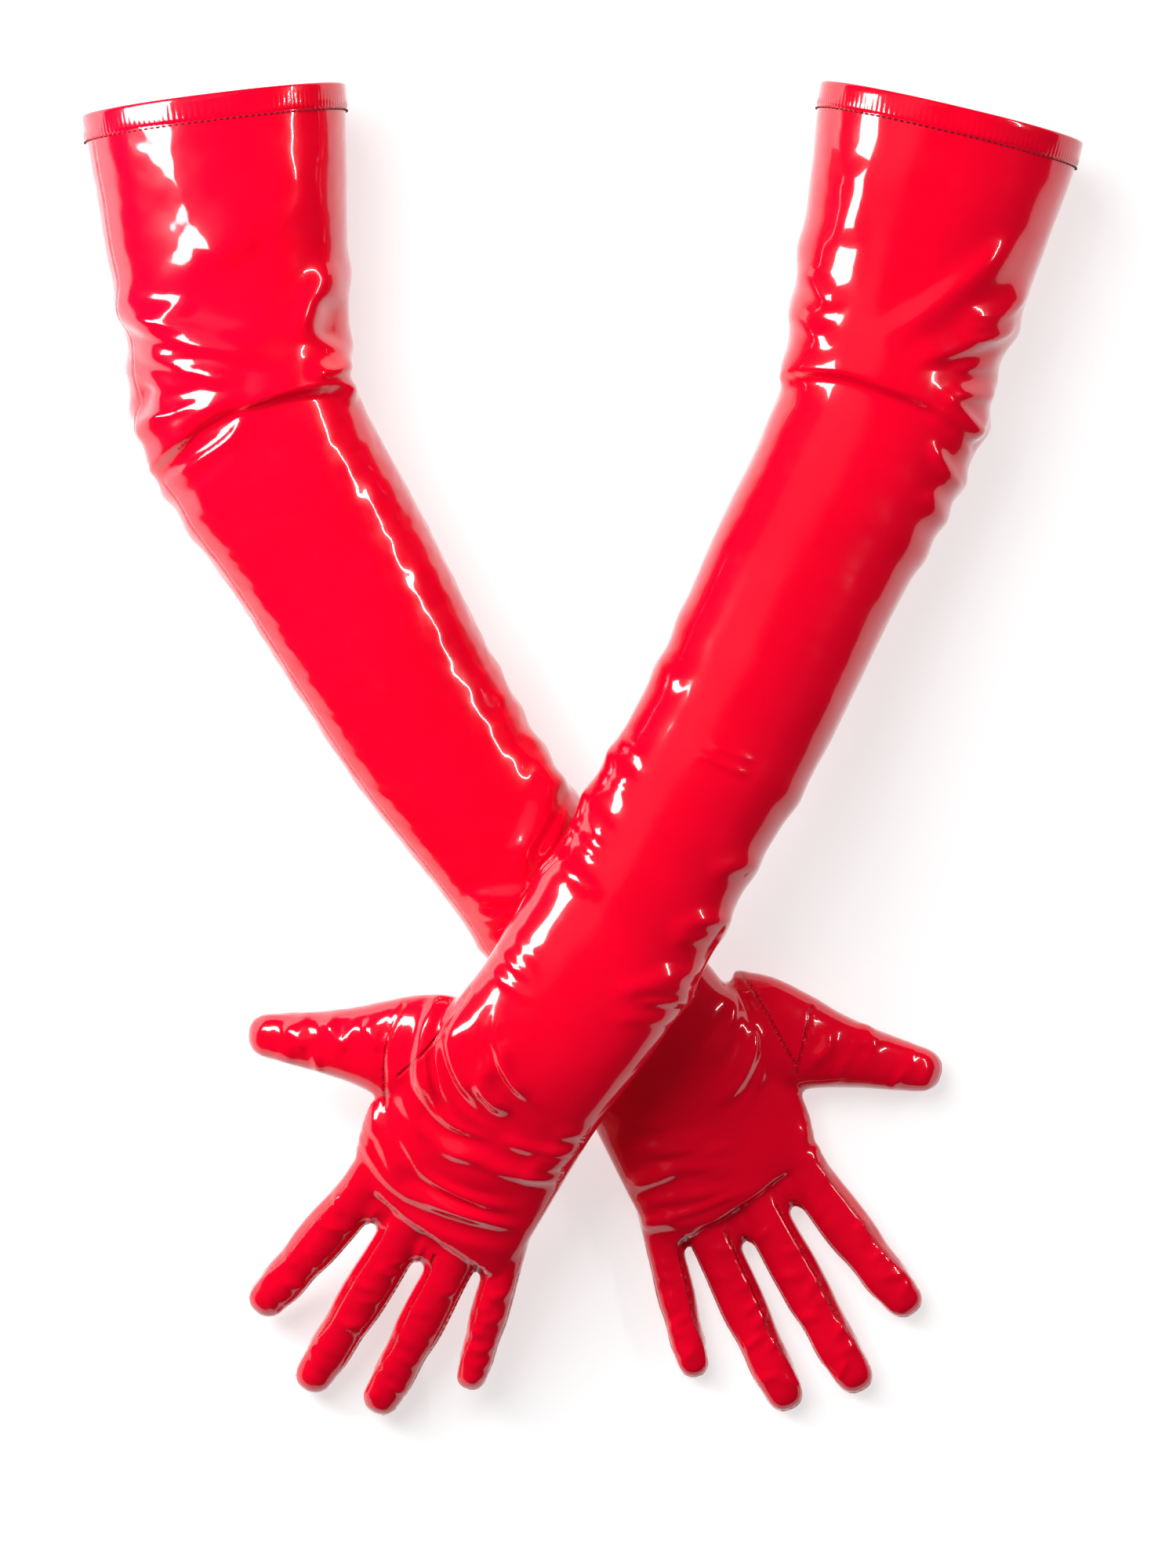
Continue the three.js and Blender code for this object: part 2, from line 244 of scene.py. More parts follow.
# Faces of a closed tube, with a fan at each end
def tubeFaces(points, first):
    rows, columns = points.shape[:2]
    faces = []

    def at(row, column):
        return first + row * columns + column % columns

    for row in range(rows - 1):
        for column in range(columns):
            after = column + 1
            faces.append((at(row, column), at(row, after), at(row + 1, after), at(row + 1, column)))
    start, end = first + rows * columns, first + rows * columns + 1
    for column in range(columns):
        faces.append((start, at(0, column + 1), at(0, column)))
        faces.append((end, at(rows - 1, column), at(rows - 1, column + 1)))
    flat = points.reshape(-1, 3)
    vertices = np.vstack([flat, points[0].mean(0), points[-1].mean(0)])
    return vertices, faces


def stationAt(table, place):
    t = np.array(table, float)
    return through(t[:, 0], t[:, 1:], place)


# How high the middle of the forearm runs: the upper glove climbs onto the lower one
def forearmHeight(places, place, halfHeight):
    climb = places["wristHeight"] - elbowHeight
    if climb < 0:
        return halfHeight
    crossing = 41
    share = np.clip(np.asarray(place, float) / (places["forearmLength"] - crossing), 0, 1)
    return elbowHeight + climb * (1.3 * share - 0.3 * share * share)


def armRings(glove, places):
    up = np.array([0, 0, 1.0])
    rings = []
    for place, shift, wide, high in reversed(glove["sleeve"]):
        sleeve = places["sleeve"]
        rings.append((toWorld(sleeve, place, shift, high), sleeve["side"], up, wide, high))
    for place, shift, wide, high in glove["forearm"]:
        forearm = places["forearm"]
        height = float(forearmHeight(places, place, high))
        rings.append((toWorld(forearm, place, shift, height), forearm["side"], up, wide, high))
    hand = places["hand"]
    outwards = hand["side"] * glove["turn"]
    rootHeight = 24
    for place, shift, wide, high in glove["palm"]:
        centre = toWorld(hand, place, shift, high - rootHeight)
        rings.append((centre, outwards, hand["up"], wide, high))
    return rings


# Stations that round off a tip from one place to the end
def roundTip(place, length, wide, high):
    shape = []
    for turned in (25, 48, 66, 80, 88):
        a = math.radians(turned)
        narrow = math.cos(a) ** 0.85
        shape.append((place + math.sin(a) * (length - place), wide * narrow, high * narrow))
    return shape


# A finger from inside the palm to its rounded tip, a little waisted between the joints
def fingerRings(own, length, half, depth):
    wide, high = half
    tip = length - 0.95 * wide
    shape = [(-depth, wide * 1.02, high), (0, wide, high), (0.2 * length, wide, high),
             (0.36 * length, wide * 1.04, high), (0.5 * length, wide * 1.02, high * 0.97),
             (0.6 * length, wide * 0.93, high * 0.94), (0.76 * length, wide * 0.93, high * 0.9),
             (tip, wide * 0.8, high * 0.8)]
    shape += roundTip(tip, length, wide * 0.8, high * 0.8)
    rings = []
    for place, w, h in shape:
        droop = min(h - high, 0) * 0.6 if place > 0 else h - high
        rings.append((toWorld(own, place, 0, droop), own["side"], own["up"], w, h))
    return rings


def thumbRings(own):
    last, wide, high = thumb["shape"][-1]
    rings = []
    for place, w, h in thumb["shape"] + roundTip(last, thumb["length"], wide, high):
        droop = 0.5 * (h - thumb["half"][1])
        rings.append((toWorld(own, place, 0, droop), own["side"], own["up"], w, h))
    return rings


def blob(own, middle, radii):
    rings = []
    for turned in (-80, -60, -30, 0, 30, 60, 80):
        a = math.radians(turned)
        centre = toWorld(own, middle[0] + radii[0] * math.sin(a), middle[1], middle[2])
        rings.append((centre, own["side"], own["up"], radii[1] * math.cos(a),
                      radii[2] * math.cos(a)))
    return rings


# Pads of the palm and the webs between the fingers, in the hand's frame: middle, then radii
handPads = {
    "thumbPad": ((36, 24, -6), (32, 19, 15)),
    "heelPad": ((30, -22, -6), (34, 17, 14.5)),
    "fingerPad": ((84, -3, -15.0), (18, 35, 12.0)),
    "indexWeb": ((104, 13.4, -15.8), (10, 9.5, 8.2)),
    "middleWeb": ((105, -13.4, -15.8), (10, 9.5, 8.2)),
    "ringWeb": ((92, -34.6, -16.2), (9.5, 8.5, 7.8)),
}


def baseMesh(name, glove, places):
    hand = places["hand"]
    tubes = [armRings(glove, places)]
    for finger, size in fingers.items():
        tubes.append(fingerRings(places[finger], size["length"], size["half"], 24))
    tubes.append(thumbRings(places["thumb"]))
    for middle, radii in handPads.values():
        tubes.append(blob(hand, middle, radii))
    vertices, faces, first = [], [], 0
    for rings in tubes:
        v, f = tubeFaces(tubeThrough(rings), first)
        vertices.append(v)
        faces += f
        first += len(v)
    mesh = bpy.data.meshes.new(name)
    mesh.from_pydata((np.vstack(vertices) * metres).tolist(), [], faces)
    whole = newPiece(name, mesh)
    outward(mesh)
    remesh = whole.modifiers.new("remesh", "REMESH")
    remesh.mode = "VOXEL"
    remesh.voxel_size = skin["voxel"] * metres
    smooth = whole.modifiers.new("smooth", "SMOOTH")
    smooth.factor = 0.5
    smooth.iterations = skin["smooth"]
    points, quads = evaluated(whole)
    bpy.data.objects.remove(whole)
    return points, quads


# Turns every tube of a mesh so that its faces point outwards
def outward(mesh):
    bm = bmesh.new()
    bm.from_mesh(mesh)
    bmesh.ops.recalc_face_normals(bm, faces=bm.faces)
    bm.to_mesh(mesh)
    bm.free()


def evaluated(piece):
    graph = bpy.context.evaluated_depsgraph_get()
    mesh = bpy.data.meshes.new_from_object(piece.evaluated_get(graph))
    points = np.zeros(len(mesh.vertices) * 3)
    mesh.vertices.foreach_get("co", points)
    corners = np.zeros(len(mesh.loops), int)
    mesh.loops.foreach_get("vertex_index", corners)
    bpy.data.meshes.remove(mesh)
    return points.reshape(-1, 3) / metres, corners.reshape(-1, 4)


# Area-weighted normals at the vertices of a quad mesh
def vertexNormals(points, quads):
    a = points[quads[:, 2]] - points[quads[:, 0]]
    b = points[quads[:, 3]] - points[quads[:, 1]]
    faceNormal = np.cross(a, b)
    total = np.zeros_like(points)
    for corner in range(4):
        for axis in range(3):
            total[:, axis] += np.bincount(quads[:, corner], faceNormal[:, axis], len(points))
    return total / np.maximum(norm(total, axis=1), 1e-12)[:, None]


# Distance to a path in plan, which side of it a point is on, and how far along it
def pathField(path, along, side):
    path = np.array(path, float)
    gaps = norm(np.diff(path, axis=0), axis=1)
    places = np.concatenate([[0], np.cumsum(gaps)])
    count = max(3, int(places[-1] / 4))
    at = np.linspace(0, places[-1], count)
    line = through(places, path, at) if len(path) > 2 else np.array(
        [path[0] + (path[1] - path[0]) * t / places[-1] for t in at])
    best = np.full(len(along), 1e9)
    sign = np.ones(len(along))
    share = np.zeros(len(along))
    for i in range(count - 1):
        start, step = line[i], line[i + 1] - line[i]
        length = norm(step)
        dx, dy = along - start[0], side - start[1]
        t = (dx * step[0] + dy * step[1]) / length ** 2
        inside = np.clip(t, 0, 1)
        distance = np.hypot(dx - inside * step[0], dy - inside * step[1])
        nearer = distance < best
        best = np.where(nearer, distance, best)
        sign = np.where(nearer, np.sign(step[0] * dy - step[1] * dx), sign)
        share = np.where(nearer, (i + inside) / (count - 1), share)
    return best, sign, share


# Each fold: the path in its own frame, how high it stands, how wide it is on its left and its right
# along the path, and how much of its ends fade out.
def fold(path, high, left, right=None, fade=0.3):
    return {"path": path, "high": high, "left": left, "right": right or left, "fade": fade}


leftFolds = {
    "sleeve": [
        ([(5, 47), (11, 40), (13, 25), (11, 9), (5, -15), (-2, -28), (-12, -40), (-22, -44)],
         5.2, 15, 2.6, 0.06),
        ([(58, -52), (40, -24), (32, -2), (26, 20)], 4.4, 4.5, 8),
        ([(40, -46), (26, -19), (17, 3)], 3.6, 4, 7),
        ([(80, 17), (73, 3), (66, -8)], 1.8, 8, 5),
        ([(68, -52), (51, -33), (54, -13)], 2.4, 6, 5),
        ([(66, 47), (44, 30), (30, 24)], 2.6, 5, 8),
        ([(20, 24), (19, 34), (24, 47)], 2.6, 3.5, 4),
        ([(50, 44), (36, 39), (30, 36)], -2.6, 7),
        ([(14, -30), (6, -40), (2, -48)], 2.4, 4, 5),
        ([(24, -38), (12, -44)], -2, 4),
        ([(100, 10), (80, -2), (64, -20), (54, -42)], 1.3, 9),
        ([(112, 40), (90, 28), (72, 12)], 1.1, 10),
    ],
    "forearm": [
        ([(1, -44), (1, -24), (0, -7), (-6, 7)], 1.8, 2.4, 4),
        ([(-11, -26), (-10, -10), (-8, 9)], -2.4, 3),
        ([(14, -40), (10, -20), (6, -4)], 1, 4, 6),
        ([(176, 34), (196, 20), (210, 2), (224, -14)], 3, 6, 5),
        ([(206, 30), (216, 14), (226, 4)], 2, 4),
        ([(214, -34), (224, -18), (230, -4)], 2.2, 4, 5),
        ([(150, 36), (154, 22)], 1.4, 4),
        ([(172, 36), (176, 24)], 1.4, 4),
        ([(192, 36), (200, 22)], 1.6, 4),
    ],
    "hand": [
        ([(60, 80), (68, 79), (74, 72)], 1.6, 3.5),
        ([(56, 66), (64, 60), (66, 50)], 1.4, 3),
        ([(54, -34), (60, -24), (70, -10), (78, 8)], 1.6, 3, 4),
        ([(61, -38), (68, -24), (78, -10), (84, 4)], 1.3, 2.6, 3.5),
        ([(74, -44), (84, -26), (90, -10)], 1.3, 3),
        ([(84, -46), (92, -28), (97, -6), (99, 14)], 1.1, 5, 3.5),
        ([(66, -44), (70, -30), (72, -18)], 2.2, 3.4),
        ([(82, -48), (86, -40), (88, -30)], 2.2, 3.4),
        ([(20, 42), (34, 30), (40, 10)], 1.6, 4, 5),
        ([(30, 44), (46, 34), (56, 16), (58, 0)], 1.8, 3, 5),
        ([(84, 36), (94, 28), (102, 22)], 1.2, 3),
        ([(40, -36), (48, -22), (56, -12)], 1.2, 3.5),
    ],
}
rightFolds = {
    "sleeve": [
        ([(6, 43), (14, 27), (18, 11), (19, 1), (21, -15), (20, -26), (16, -38), (9, -44)],
         4.4, 14, 2.6, 0.06),
        ([(97, 44), (67, 21), (45, 2), (35, -12)], 3, 5, 9),
        ([(31, 6), (41, 25), (58, 50)], 3, 4, 7),
        ([(112, -30), (88, -28), (70, -34)], 1.2, 8),
        ([(60, -50), (52, -34), (44, -24)], 1.8, 5),
        ([(44, -50), (36, -34), (31, -22)], 1.7, 4),
        ([(78, 54), (60, 36), (50, 20)], 1.8, 5, 7),
        ([(30, 50), (24, 34), (22, 22)], 2.2, 4),
    ],
    "forearm": [
        ([(-28, 12), (-24, 26), (-18, 42)], 1.8, 2.4),
        ([(-20, 14), (-16, 28), (-8, 44)], 1.8, 2.4, 3.5),
        ([(-8, 22), (0, 34), (6, 47)], 2, 3),
        ([(10, 30), (18, 40), (22, 48)], 1.4, 4),
        ([(154, -4), (153, 10), (152, 24)], 1.2, 1.8),
        ([(149, 0), (147, 12), (146, 23)], 1, 1.8),
        ([(120, -38), (128, -30), (134, -18)], 1.2, 4),
        ([(166, -38), (176, -28), (180, -14)], 1.5, 4),
        ([(186, -38), (196, -28), (204, -10)], 1.6, 4),
        ([(216, -36), (222, -24), (226, -6)], 1.6, 4),
        ([(180, 48), (186, 38), (196, 26)], 1.3, 4),
        ([(206, 48), (214, 36), (226, 22)], 1.4, 4),
        ([(240, 46), (246, 32), (258, 14)], 1.4, 4),
    ],
    "hand": [
        ([(8, 46), (29, 41), (43, 31), (48, 16)], 3, 3.4, 6),
        ([(6, 34), (24, 29), (32, 16), (35, 2)], 3.2, 3.6, 6),
        ([(14, 16), (27, 9), (34, -8)], 2.6, 3.2, 5),
        ([(4, 14), (13, 9), (22, -10)], 1.6, 2.6, 4),
        ([(52, 38), (60, 22), (60, 4), (54, -14)], 1.7, 3, 4),
        ([(66, 30), (76, 8), (73, -18), (65, -38)], 1.5, 2.2, 3),
        ([(68, 14), (58, -4), (54, -21), (44, -43)], 1.7, 3, 4),
        ([(84, 10), (82, -12), (72, -43)], 1.6, 3.4, 2.4),
        ([(44, -8), (40, -22), (30, -40)], 1.4, 3),
        ([(92, 30), (98, 8), (94, -18), (84, -44)], 1.2, 5.5, 3),
        ([(71, 43), (80, 26), (87, 10)], 1.8, 3, 4),
        ([(62, 48), (72, 34), (78, 22)], 1.4, 3),
        ([(64, 92), (66, 84), (66, 76)], 1.6, 3),
        ([(50, 80), (54, 72), (54, 62)], 1.6, 3),
        ([(40, 66), (44, 58), (44, 50)], 1.5, 3),
        ([(30, 58), (46, 52), (60, 40)], -1.3, 2.4),
    ],
}

# Rows of finer folds that fill the space between two drawn ones: first path, last path, how many,
# how high the highest stands.
foldRows = {
    "left": {
        "hand": [
            ([(50, -40), (54, -24), (60, -8), (66, 6)], [(88, -46), (96, -30), (102, -10), (104, 8)], 8, 1.5),
            ([(8, 44), (24, 34), (34, 18), (36, 0)], [(34, 46), (52, 36), (66, 20), (72, 4)], 7, 1.3),
            ([(86, 44), (92, 34), (98, 24)], [(100, 40), (106, 32), (110, 24)], 3, 0.9),
        ],
        "forearm": [
            ([(180, 36), (200, 20), (214, 0)], [(222, 34), (236, 10), (244, -14)], 5, 1.6),
            ([(216, -38), (226, -24), (232, -8)], [(244, -38), (250, -20), (254, -4)], 4, 1.6),
        ],
        "sleeve": [
            ([(60, -50), (46, -30), (40, -8)], [(6, -48), (8, -30), (12, -8)], 5, 1.3),
        ],
    },
    "right": {
        "hand": [
            ([(52, 46), (62, 26), (60, 2), (48, -42)], [(84, 42), (92, 14), (84, -18), (68, -46)], 10, 1.3),
            ([(26, 44), (46, 34), (56, 14), (52, -8)], [(-8, 26), (6, 18), (18, 0), (22, -22)], 9, 1.9),
            ([(30, -24), (24, -34), (16, -42)], [(58, -20), (52, -34), (44, -44)], 5, 1.4),
            ([(60, 46), (68, 40), (74, 28)], [(82, 44), (88, 34), (90, 22)], 4, 1.6),
        ],
        "forearm": [
            ([(150, -42), (160, -30), (166, -14)], [(206, -42), (214, -30), (222, -8)], 6, 1.2),
            ([(246, -44), (254, -30), (262, -8)], [(270, -44), (276, -30), (282, -8)], 3, 1.2),
            ([(196, 50), (206, 38), (216, 22)], [(262, 48), (270, 34), (276, 18)], 6, 1.2),
        ],
        "sleeve": [
            ([(86, 56), (66, 40), (56, 22)], [(24, 50), (22, 36), (20, 22)], 6, 1.5),
        ],
    },
}


def rowOfFolds(first, last, count, high, random):
    made = []
    for i in range(count):
        share = (i + 0.5 + random.uniform(-0.3, 0.3)) / count
        path = (1 - share) * np.array(first, float) + share * np.array(last, float)
        path += random.normal(scale=0.9, size=path.shape)
        cut = random.uniform(0, 0.35, 2)
        ends = (path[1] - path[0]) * cut[0], (path[-2] - path[-1]) * cut[1]
        path[0] += ends[0]
        path[-1] += ends[1]
        width = random.uniform(1.9, 3.2)
        tall = high * random.uniform(0.45, 1.0)
        made.append(fold(path, tall, width, width * random.uniform(0.7, 1.5), 0.35))
    return made


# Short creases across each finger and the thumb, in its own frame
def fingerFolds(length, wide, count, random):
    made = []
    for i in range(count):
        at = length * (0.12 + 0.8 * (i + random.uniform(0, 0.8)) / count)
        lean = random.uniform(-5, 5)
        start = random.choice([-1, 1])
        path = [(at - lean, start * wide), (at, start * wide * 0.35),
                (at + lean, -start * wide * random.uniform(0, 0.5))]
        made.append(fold(path, random.uniform(0.35, 0.8), random.uniform(1.6, 2.8), None, 0.35))
    return made


def allFolds(hand):
    random = np.random.default_rng(31 if hand == "left" else 47)
    drawn = leftFolds if hand == "left" else rightFolds
    made = {part: [fold(*values) for values in rows] for part, rows in drawn.items()}
    for part, rows in foldRows[hand].items():
        for first, last, count, high in rows:
            made[part] += rowOfFolds(first, last, count, high, random)
    for finger, size in fingers.items():
        made[finger] = fingerFolds(size["length"], size["half"][0], 9, random)
    made["thumb"] = fingerFolds(thumb["length"], thumb["half"][0], 10, random)
    return made


# Folds round the tubes, on the sides and the back as well: place along, height, width, the angle
# round the tube that they are strongest at (0 is the side, 90 the palm side), spread and slant.
bands = {
    "left": {
        "sleeve": [
            (58, 3.2, 8, 190, 42, 0.1), (34, 3, 7, 200, 46, 0.12), (14, 3.4, 8, 196, 50, 0.12),
            (30, 2.6, 7, -12, 40, -0.1), (62, 2, 8, -20, 40, -0.1), (20, 2, 8, 262, 60, 0.05),
            (46, 1.6, 8, 280, 60, -0.05),
        ],
        "forearm": [
            (4, 2.6, 6, 186, 34, 0.1), (22, 1.6, 8, 200, 50, 0), (142, 1.2, 6, 0, 40, 0.05),
            (160, 1.4, 6, -4, 44, 0.06), (180, 1.5, 6, 0, 44, 0.04), (204, 1.8, 7, -6, 50, 0.06),
            (228, 1.6, 7, 10, 60, 0.05), (236, 1.6, 7, 190, 60, -0.05), (20, 1.8, 9, 270, 60, 0),
            (196, 1.2, 8, 260, 60, 0.05), (252, 1.5, 7, 275, 80, -0.04),
        ],
    },
    "right": {
        "sleeve": [
            (56, 2.2, 7, -8, 40, -0.08), (34, 2.6, 6, -14, 44, -0.1), (14, 3, 7, -10, 46, -0.12),
            (70, 1.6, 8, 186, 36, 0.08), (44, 1.6, 7, 190, 40, 0.1), (22, 1.8, 7, 196, 46, 0.1),
            (20, 2, 8, 262, 60, 0.05), (46, 1.6, 8, 280, 60, -0.05),
        ],
        "forearm": [
            (2, 2.6, 6, -8, 44, -0.1), (18, 2, 6, -4, 46, -0.08), (36, 1.4, 7, 0, 50, -0.06),
            (108, 0.9, 7, 184, 40, 0.05), (130, 1, 6, 180, 40, 0.05), (152, 1.2, 7, 0, 50, -0.05),
            (170, 1.5, 6, 182, 46, 0.06), (190, 1.6, 7, 180, 50, 0.06), (186, 1.4, 7, 2, 50, -0.05),
            (214, 1.6, 7, -4, 56, -0.05), (20, 1.8, 9, 270, 60, 0), (228, 1.5, 7, 184, 60, 0.06),
            (246, 1.6, 7, 4, 60, -0.04), (252, 1.5, 7, 275, 80, -0.04),
        ],
    },
}


def tubeAngle(glove, places, part, along, side, up):
    shift, wide, high = stationAt(glove[part], np.clip(along, 0, 150 if part == "sleeve" else 280)).T
    middle = high if part == "sleeve" else forearmHeight(places, along, high)
    return np.arctan2((up - middle) / high, (side - shift) / wide)


def foldSkin(hand, glove, places, points, normals):
    upwards = ramp(-0.1, 0.55, normals[:, 2])
    height = np.zeros(len(points))
    hemGuard = 1.0
    for part, paths in allFolds(hand).items():
        along, side, up = toLocal(points, places[part])
        if part == "sleeve":
            hemGuard = 1 - ramp(places["hemPlace"] - 34, places["hemPlace"] - 12, along)
        for f in paths:
            reach = 2.6 * max(f["left"], f["right"])
            box = np.array(f["path"], float)
            near = ((along > box[:, 0].min() - reach) & (along < box[:, 0].max() + reach)
                    & (side > box[:, 1].min() - reach) & (side < box[:, 1].max() + reach))
            distance, sign, share = pathField(f["path"], along[near], side[near])
            width = np.where(sign > 0, f["left"], f["right"])
            fade = f["fade"]
            ends = ramp(0, fade, share) * ramp(1, 1 - fade, share)
            height[near] += f["high"] * np.exp(-(distance / width) ** 2) * ends * upwards[near]
    for part, rows in bands[hand].items():
        along, side, up = toLocal(points, places[part])
        angle = tubeAngle(glove, places, part, along, side, up)
        guard = ramp(-12, 0, along) * (1 - ramp(262, 282, along) if part == "forearm" else 1)
        for place, high, width, strongest, spread, slant in rows:
            turned = np.degrees(angle) - strongest
            turned = (turned + 180) % 360 - 180
            across = (along - place - slant * turned) / width
            height += high * np.exp(-across ** 2 - (turned / spread) ** 2) * guard
    return height * hemGuard


# Soft waves that break up the reflections: seed, length and height
waves = {
    "left": [(11, 26, 0.1), (5, 10, 0.035)],
    "right": [(23, 26, 0.1), (8, 10, 0.035)],
}
forearmRipple = (17, 8, 0.09)     # on the left forearm only


def gentleWaves(points, seed, size, high):
    random = np.random.default_rng(seed)
    total = np.zeros(len(points))
    count = 14
    for _ in range(count):
        heading = unit(random.normal(size=3))
        length = size * random.uniform(0.7, 1.8)
        total += np.sin(points @ heading * 2 * math.pi / length + random.uniform(0, 2 * math.pi))
    return total * high / math.sqrt(count)


# Sewn lines seen from the palm side, in the hand's frame
handSeams = {
    "left": [[(5, 47), (34, 47), (63, 45)], [(46, 64), (56, 54), (66, 43)]],
    "right": [[(26, 56), (44, 51), (66, 36)], [(1, 37), (29, 36), (50, 40)]],
}
strip = {"near": 52, "far": 20, "start": 4, "sunk": 0.9}   # the side strips of the fingers


seamRelief = {"lip": 0.15, "groove": 0.3}
farFromSeams = 40.0


def seamDistance(hand, glove, places, points, normals):
    best = np.full(len(points), farFromSeams)
    along, side, up = toLocal(points, places["hand"])
    for path in handSeams[hand]:
        distance = pathField(path, along, side)[0]
        best = np.minimum(best, np.where(normals[:, 2] > 0.05, distance, farFromSeams))
    for finger, size in fingers.items():
        x, y, z = toLocal(points, places[finger])
        wide, high = size["half"]
        share = np.clip(x / size["length"], 0, 1)
        reach = np.radians(np.where(y > 0, strip["near"], strip["far"])) * (1 - ramp(0.6, 1.0, share))
        angle = np.arctan2(np.abs(z) / high, np.abs(y) / wide)
        mine = (x > strip["start"]) & (np.abs(y) < wide * 1.25) & (np.abs(z) < high * 1.6)
        distance = np.abs(angle - reach) * np.hypot(y, z)
        best = np.where(mine, np.minimum(best, distance), best)
    x, y, z = toLocal(points, places["thumb"])
    wide, high = thumb["half"]
    mine = (x > 2) & (np.abs(y) < wide * 1.4)
    best = np.where(mine, np.minimum(best, np.abs(z + 1)), best)
    # one long seam up the little finger's side of the arm
    seamSide = 180 if glove["turn"] > 0 else 0
    for part in ("sleeve", "forearm"):
        along, side, up = toLocal(points, places[part])
        angle = np.degrees(tubeAngle(glove, places, part, along, side, up)) - seamSide + 24
        angle = (angle + 180) % 360 - 180
        far = (along > 0) & (along < places["hemPlace" if part == "sleeve" else "forearmLength"])
        best = np.where(far, np.minimum(best, np.abs(np.radians(angle)) * 40), best)
    return best


# The side strip on the thumb's side of each finger lies a little deeper than the front
def sunkStrips(places, points):
    sunk = np.zeros(len(points))
    for finger, size in fingers.items():
        x, y, z = toLocal(points, places[finger])
        wide, high = size["half"]
        share = np.clip(x / size["length"], 0, 1)
        reach = math.radians(strip["near"]) * (1 - ramp(0.6, 1.0, share))
        angle = np.arctan2(z / high, y / wide)
        mine = (x > -4) & (x < size["length"] * 1.05) & (y > 0) & (y < wide * 1.25)
        mine &= np.abs(z) < high * 1.6
        depth = ramp(reach, reach - 0.16, angle) * ramp(-0.5, -0.1, angle)
        depth = depth * ramp(-4, 8, x) * ramp(1.0, 0.8, share)
        sunk = np.where(mine, np.maximum(sunk, depth), sunk)
    return sunk


zones = {
    "elbow": 38,     # each side of the hinge, along the arm
    "wrist": 25,
    "thumb": (3, 22),
    "index": (11, 27), "middle": (9, 25), "ring": (13, 29), "little": (8, 24),
    "slack": 0.02,
    "reach": 1.45,       # how far to the side of a finger its faces may lie, in half widths
    "thumbReach": 1.6,
}


def chord(start, end, points):
    d = end - start
    return (points - start) @ d / (d @ d)


def zoneEnds(places):
    sleeve, forearm, hand = places["sleeve"], places["forearm"], places["hand"]
    length = places["forearmLength"]
    ends = {
        "elbow": tuple(toWorld(arm, zones["elbow"], 0, elbowHeight) for arm in (sleeve, forearm)),
        "wrist": (toWorld(forearm, length - zones["wrist"], 0, places["wristHeight"]),
                  toWorld(hand, zones["wrist"], 0, 0)),
    }
    for part in ("thumb", *fingerNames):
        ends[part] = tuple(toWorld(places[part], x, 0, 0) for x in zones[part])
    return ends


def faceZones(places, points, quads):
    centres = points[quads].mean(axis=1)
    ends = zoneEnds(places)
    zone = np.full(len(quads), "forearm", dtype=object)
    elbow = chord(*ends["elbow"], centres)
    wrist = chord(*ends["wrist"], centres)
    slack = zones["slack"]
    zone[elbow < 1 + slack] = "elbow"
    zone[elbow < -slack] = "sleeve"
    zone[wrist > -slack] = "wrist"
    zone[wrist > 1 + slack] = "palm"
    beyond = wrist > 1 + slack
    best = np.full(len(quads), 1e9)
    for part in ("thumb", *fingerNames):
        x, y, z = toLocal(centres, places[part])
        half = thumb["half"] if part == "thumb" else fingers[part]["half"]
        reach = zones["thumbReach" if part == "thumb" else "reach"]
        inside = beyond & (x > zones[part][0]) & (np.abs(y) < half[0] * reach) & (np.abs(y) < best)
        if part == "thumb":
            inside &= np.abs(z) < 30
        zone[inside] = part
        best[inside] = np.abs(y)[inside]
    for part in ("thumb", *fingerNames):
        giveBackIslets(zone, quads, part)
    return zone, ends


# Small groups of faces cut off from their finger go back to the palm
def giveBackIslets(zone, quads, part):
    mine = np.flatnonzero(zone == part)
    label = np.arange(quads.max() + 1)
    faces = quads[mine]
    while True:
        lowest = label[faces].min(axis=1)
        before = label[faces].sum()
        np.minimum.at(label, faces, np.repeat(lowest[:, None], 4, axis=1))
        if label[faces].sum() == before:
            break
    lowest = label[faces[:, 0]]
    groups, sizes = np.unique(lowest, return_counts=True)
    zone[mine[lowest != groups[sizes.argmax()]]] = "palm"


def storeSeam(mesh, distances):
    attribute = mesh.attributes.new("seamDistance", "FLOAT", "POINT")
    attribute.data.foreach_set("value", np.asarray(distances, np.float32))


